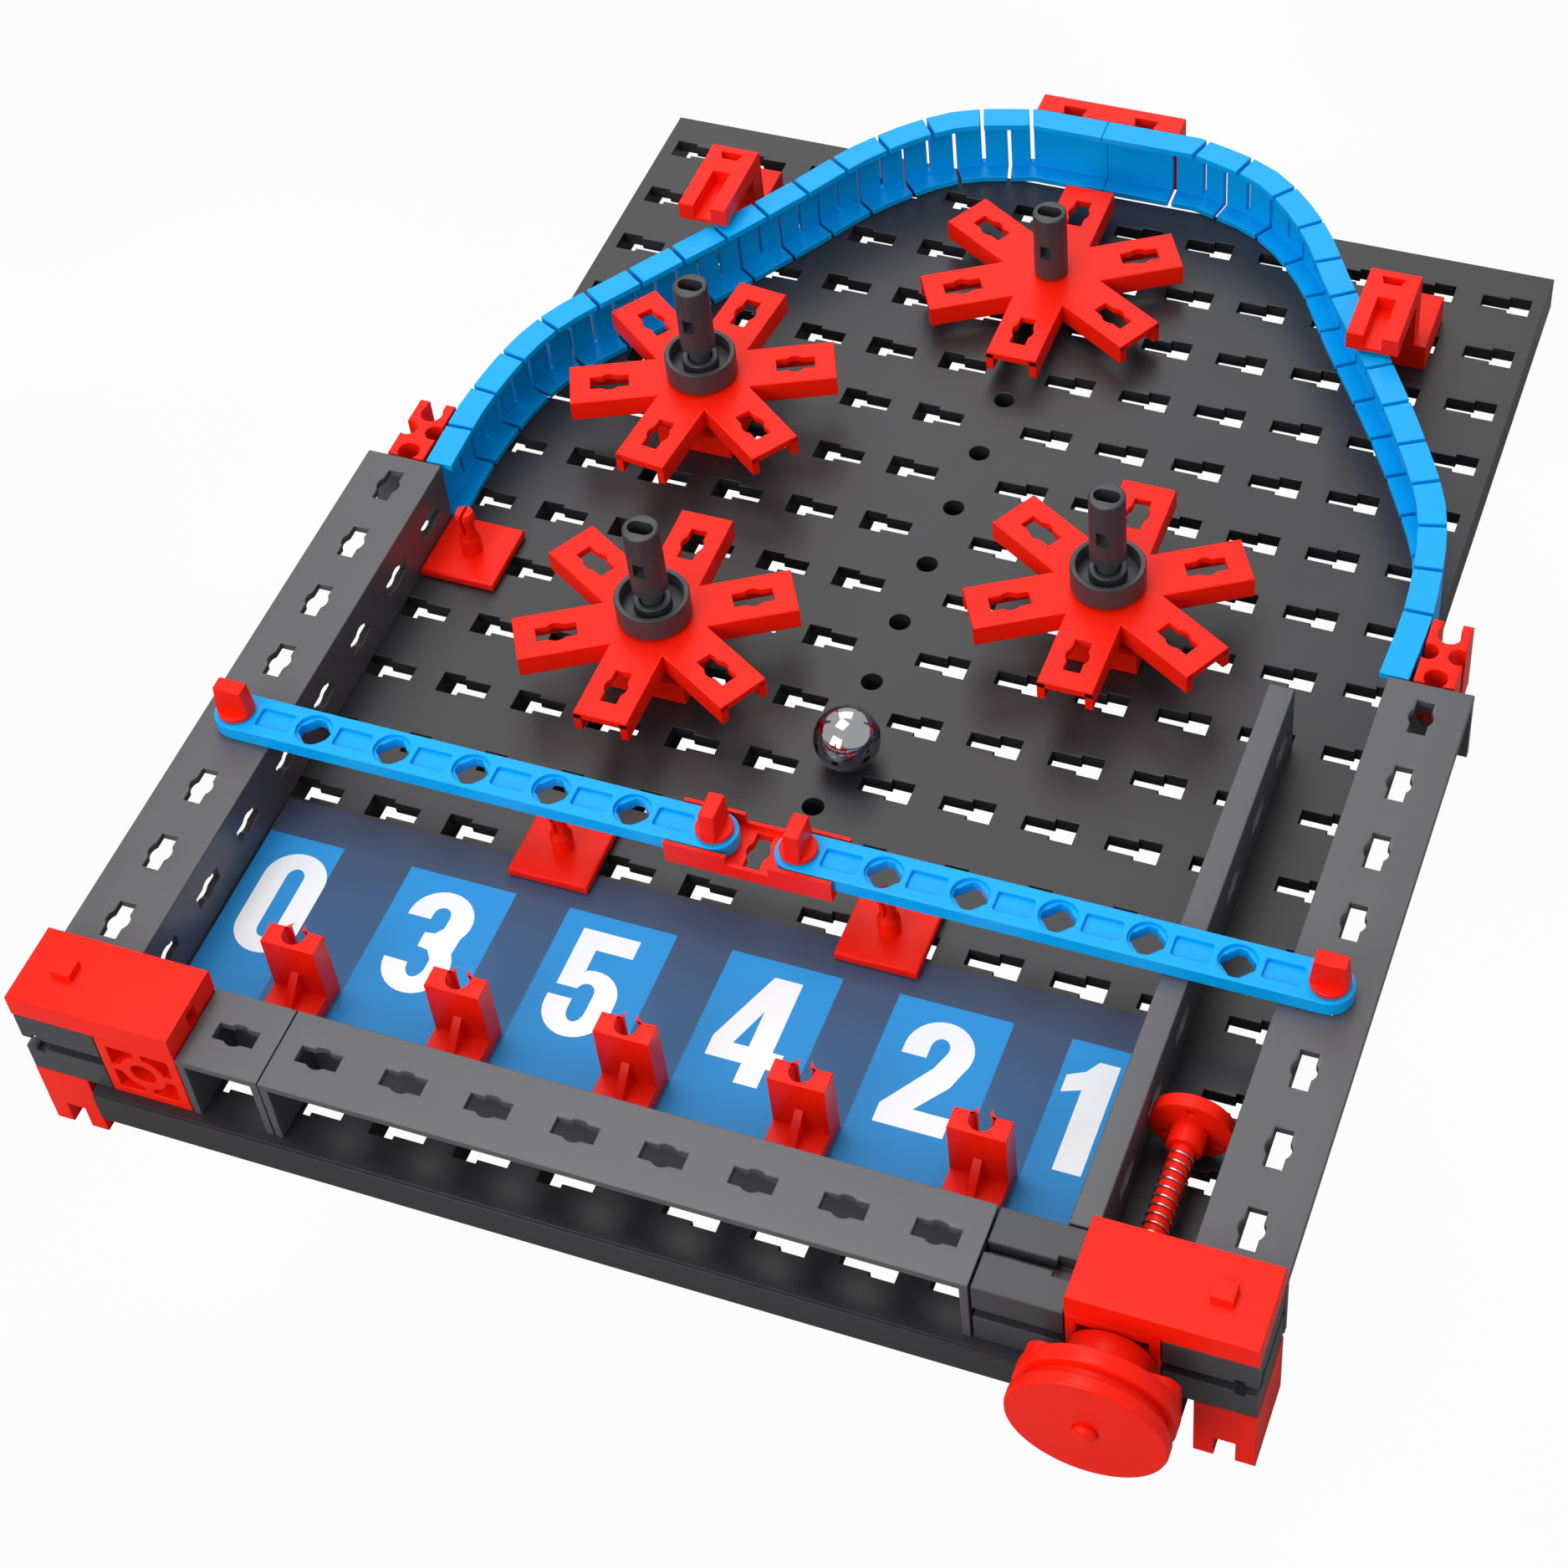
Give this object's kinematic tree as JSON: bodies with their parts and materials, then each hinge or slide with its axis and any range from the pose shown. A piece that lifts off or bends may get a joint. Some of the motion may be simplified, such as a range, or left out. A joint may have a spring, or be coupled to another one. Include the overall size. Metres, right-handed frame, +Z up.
{
  "type": "tabletop marble spinner game",
  "caption": "Tabletop marble game: slotted board with bent rails, six-armed spinners, pegs, numbered pockets and a spring launcher.",
  "frame": {"origin": "middle of the base plate upper face, where the playfield is solid between the slot columns", "axes": "+X to the right and +Y away from the player along the longer side, +Z up out of the playfield"},
  "size_m": [0.21, 0.2824, 0.0515],
  "materials": {
    "plate": "moulded charcoal plastic, fine satin grain",
    "girder": "moulded dark grey plastic, satin",
    "black_plastic": "near-black plastic, satin",
    "red_plastic": "orange-red moulded plastic, semi-gloss",
    "blue_plastic": "bright blue moulded plastic, semi-gloss",
    "card": "printed card, navy to blue with blue patches and white figures",
    "spring_steel": "bright drawn wire",
    "ball_steel": "polished steel"
  },
  "bodies": {
    "board": {"base_plate": "plate", "number_card": "card", "right_girder": "girder", "left_girder": "girder", "front_girder": "girder", "front_short_girder": "girder", "lane_divider": "girder", "left_corner_block": "black_plastic", "right_corner_block": "black_plastic", "launcher_side_block": "black_plastic", "left_lattice_block": "red_plastic", "launcher_guide": "red_plastic", "left_corner_cap": "red_plastic", "right_corner_cap": "red_plastic", "front_left_foot": "red_plastic", "front_right_foot": "red_plastic", "rear_foot": "black_plastic", "plunger_spring": "spring_steel", "left_shaft": "black_plastic", "left_ring": "black_plastic", "left_spinner_base": "red_plastic", "upper_shaft": "black_plastic", "upper_ring": "black_plastic", "upper_spinner_base": "red_plastic", "right_shaft": "black_plastic", "right_ring": "black_plastic", "right_spinner_base": "red_plastic", "back_shaft": "black_plastic", "left_rail": "blue_plastic", "right_rail": "blue_plastic", "rail_joiner": "red_plastic", "left_rail_end_block": "red_plastic", "right_rail_end_block": "red_plastic", "left_rail_clamp": "red_plastic", "right_rail_clamp": "red_plastic", "left_strut": "blue_plastic", "right_strut": "blue_plastic", "strut_connector": "red_plastic", "left_outer_pin": "red_plastic", "left_inner_pin": "red_plastic", "right_inner_pin": "red_plastic", "right_outer_pin": "red_plastic", "left_peg": "red_plastic", "front_left_peg": "red_plastic", "front_right_peg": "red_plastic", "pocket_post_1": "red_plastic", "pocket_post_2": "red_plastic", "pocket_post_3": "red_plastic", "pocket_post_4": "red_plastic", "pocket_post_5": "red_plastic"},
    "left_spinner": {"left_star": "red_plastic"},
    "upper_spinner": {"upper_star": "red_plastic"},
    "right_spinner": {"right_star": "red_plastic"},
    "back_spinner": {"back_star": "red_plastic"},
    "plunger": {"plunger_rod": "red_plastic", "plunger_knob": "red_plastic", "plunger_hub_nut": "red_plastic"},
    "ball": {"ball": "ball_steel"}
  },
  "joints": [
    {"name": "left_spinner_turn", "type": "hinge", "parent": "board", "child": "left_spinner", "pos_m": [-0.0375, -0.015, 0.012], "axis": [0, 0, 1], "continuous": true},
    {"name": "upper_spinner_turn", "type": "hinge", "parent": "board", "child": "upper_spinner", "pos_m": [-0.0525, 0.045, 0.012], "axis": [0, 0, 1], "continuous": true},
    {"name": "right_spinner_turn", "type": "hinge", "parent": "board", "child": "right_spinner", "pos_m": [0.0375, 0.015, 0.012], "axis": [0, 0, 1], "continuous": true},
    {"name": "back_spinner_turn", "type": "hinge", "parent": "board", "child": "back_spinner", "pos_m": [0, 0.0975, 0.005], "axis": [0, 0, 1], "continuous": true},
    {"name": "plunger_pull", "type": "slide", "parent": "board", "child": "plunger", "axis": [0, -1, 0], "range_m": [0, 0.012], "stiffness_N_per_m": 120, "springref_m": -0.01, "deforming": ["plunger_spring"]},
    {"name": "ball_roll", "type": "slide", "parent": "board", "child": "ball", "axis": [0, 1, 0], "range_m": [-0.018, 0.03]}
  ]
}
